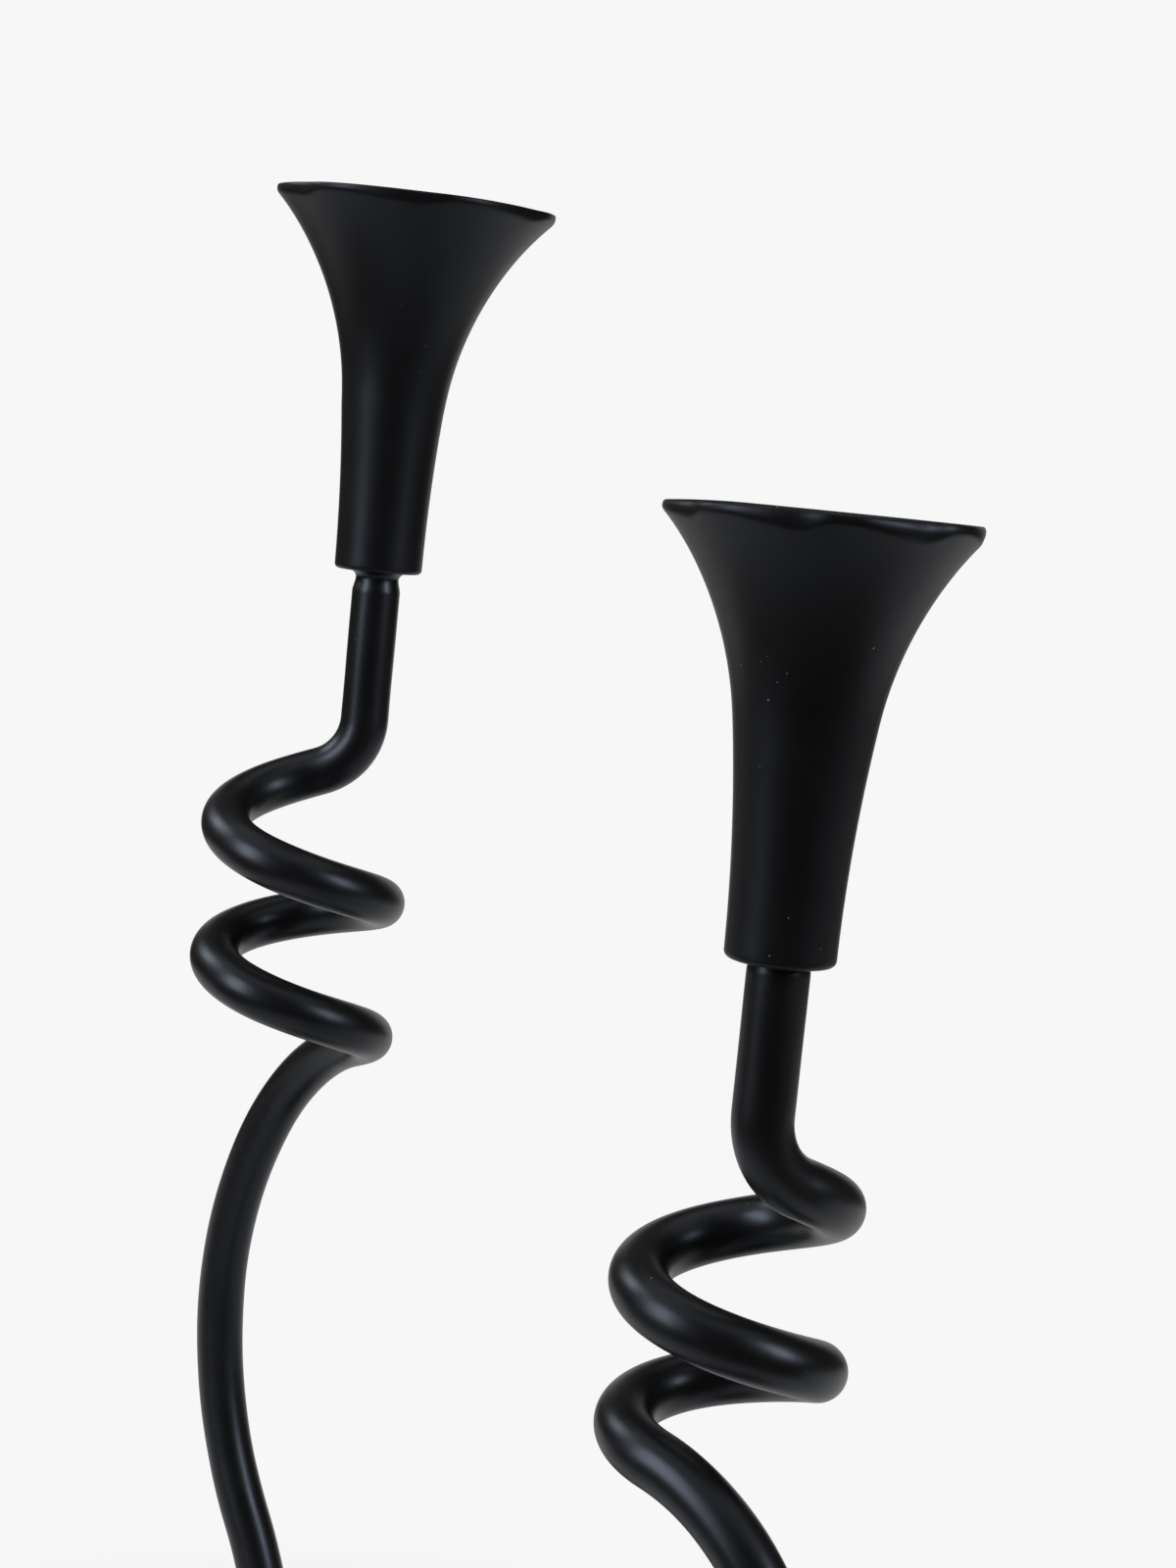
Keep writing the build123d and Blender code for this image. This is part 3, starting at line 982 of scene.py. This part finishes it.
def make_floor():
    """A wide round floor whose shadows fade into the background colour."""
    angles = [2 * pi * side / FLOOR_SIDES for side in range(FLOOR_SIDES)]
    points = [Vector((cos(angle), sin(angle), 0)) * FLOOR_RADIUS for angle in angles]
    floor = mesh_object("floor", points, [tuple(range(FLOOR_SIDES))])
    material, tree, shader = new_material("pale_floor")
    shader.inputs["Base Color"].default_value = FLOOR_COLOUR
    shader.inputs["Roughness"].default_value = 0.9
    shader.inputs["Specular IOR Level"].default_value = 0.0
    place = add_node(tree, "ShaderNodeTexCoord").outputs["Object"]
    distance = add_node(tree, "ShaderNodeVectorMath", operation="LENGTH")
    tree.links.new(place, distance.inputs[0])
    fade = add_steps(tree, distance.outputs["Value"], SHADOW_NEAR, SHADOW_FAR)
    plain = add_node(tree, "ShaderNodeEmission")
    plain.inputs["Color"].default_value = BACKGROUND
    mixed = add_node(tree, "ShaderNodeMixShader")
    share = add_math(tree, "MULTIPLY", fade, background_rays(tree))
    tree.links.new(share, mixed.inputs["Fac"])
    tree.links.new(shader.outputs["BSDF"], mixed.inputs[1])
    tree.links.new(plain.outputs["Emission"], mixed.inputs[2])
    tree.links.new(mixed.outputs["Shader"], tree.nodes["Material Output"].inputs["Surface"])
    floor.data.materials.append(material)
    return floor


def make_world():
    """The background colour for what looks at it, and a softer fill for the light on the set."""
    world = bpy.data.worlds.new("pale_studio")
    world.use_nodes = True
    tree = world.node_tree
    sky = tree.nodes["Background"]
    sky.inputs["Color"].default_value = BACKGROUND
    extra = add_math(tree, "MULTIPLY", background_rays(tree), 1 - WORLD_FILL)
    tree.links.new(add_math(tree, "ADD", extra, WORLD_FILL), sky.inputs["Strength"])
    bpy.context.scene.world = world
    return world


floor = make_floor()
world = make_world()
print("floor and world:", floor.name, world.name)

# %% [markdown]
# ## A dark grey flag
# A black object in a pale room mirrors the room and looks grey. A photographer hangs a dark cloth, called a
# flag, round the set and lets it trail over the floor in front, so that the black has something dim to
# mirror. The camera itself doesn't see it. Behind the set it hangs only from above, because the thin pale
# edges of the bars come from the low gap there. At the right and behind, its trail starts further out, so
# that the flares still mirror a pale floor.

# %% Hang the flag round the set
FLAG_COLOUR = (0.110, 0.084, 0.064, 1)
FLAG_RADIUS = 1.5
FLAG_HEIGHT = 2.4
FLAG_LIFT = 0.004
FLAG_LEFT = radians(-155)
FLAG_RIGHT = radians(148)
FLAG_STEPS = 90
BACK_GAP = 0.75
TRAIL_FRONT = 0.34
TRAIL_BACK = 1.1
LEFT_TURN = (radians(-98), radians(-111))
RIGHT_TURN = (radians(60), radians(85))


def trail(side):
    """The inner edge of the cloth on the floor at an angle to the side: its distance and height."""
    start, end = RIGHT_TURN if side > 0 else LEFT_TURN
    share = min(1.0, max(0.0, (side - start) / (end - start)))
    return TRAIL_FRONT + (TRAIL_BACK - TRAIL_FRONT) * share, FLAG_LIFT


def even_row(height):
    """A row of the cloth that keeps one distance and one height all round."""
    def row(side):
        return FLAG_RADIUS, height
    return row


def add_cloth(points, faces, from_side, to_side, rows):
    """Adds a curved band of cloth to the lists; each row gives its distance and height at a side angle."""
    first = len(points)
    across = FLAG_STEPS + 1
    for row in rows:
        for step in range(across):
            side = from_side + (to_side - from_side) * step / FLAG_STEPS
            reach, height = row(side)
            points.append(Vector((sin(side) * reach, -cos(side) * reach, height)))
    for row in range(len(rows) - 1):
        for step in range(FLAG_STEPS):
            corner = first + row * across + step
            faces.append((corner, corner + 1, corner + across + 1, corner + across))


def make_flag():
    """The dark cloth: a trail over the floor and an upright in front, and a hanging part behind the set."""
    points = []
    faces = []
    foot, hem, top = even_row(FLAG_LIFT), even_row(BACK_GAP), even_row(FLAG_HEIGHT)
    add_cloth(points, faces, FLAG_LEFT, FLAG_RIGHT, (trail, foot, top))
    add_cloth(points, faces, FLAG_RIGHT, FLAG_LEFT + 2 * pi, (hem, top))
    flag = mesh_object("grey_flag", points, faces)
    material, tree, shader = new_material("flag_cloth")
    shader.inputs["Base Color"].default_value = FLAG_COLOUR
    shader.inputs["Roughness"].default_value = 1.0
    shader.inputs["Specular IOR Level"].default_value = 0.0
    flag.data.materials.append(material)
    flag.visible_camera = False
    return flag


flag = make_flag()
print("flag:", flag.name, len(flag.data.polygons), "faces")

# %% [markdown]
# ## Soft window light
# Each turn of the coils shows two soft patches side by side on its left and a smaller one on its right. They
# come from three soft, nearly white sources: a window on the left front, another on the left behind the set,
# and a small one on the right. Each is placed by its angle to the side of the camera and its height angle,
# all at one distance. The blue of the patches is the window light's colour, painted into the paint's sheen
# instead of the lamps, so the floor stays neutral.

# %% Hang the soft boxes
LIGHT_TARGET = Vector((0, 0, 0.25))
LIGHT_DISTANCE = 1.4
WINDOW_COLOUR = (0.92, 0.96, 1.0)


def make_soft_box(name, side_angle, height_angle, width, height, watts):
    """A rectangular lamp that faces the set from a side angle and a height angle, both in degrees."""
    side, rise = radians(side_angle), radians(height_angle)
    outward = Vector((sin(side) * cos(rise), -cos(side) * cos(rise), sin(rise)))
    data = bpy.data.lights.new(name, "AREA")
    data.shape = "RECTANGLE"
    data.size = width
    data.size_y = height
    data.energy = watts
    data.color = WINDOW_COLOUR
    lamp = bpy.data.objects.new(name, data)
    lamp.location = LIGHT_TARGET + outward * LIGHT_DISTANCE
    lamp.rotation_euler = (-outward).to_track_quat("-Z", "Y").to_euler()
    bpy.context.scene.collection.objects.link(lamp)
    return lamp


lamps = [
    make_soft_box("left_front_window", -59, 23, width=0.42, height=1.00, watts=19.5),
    make_soft_box("left_rear_window", -112, 33, width=0.40, height=0.50, watts=7.0),
    make_soft_box("right_window", 62, 25, width=0.32, height=0.60, watts=11.5),
]
print("lamps:", [lamp.name for lamp in lamps])

# %% [markdown]
# ## Colour
# The Standard view shows colours about as they are written.

# %% Finish
bpy.context.scene.view_settings.view_transform = "Standard"
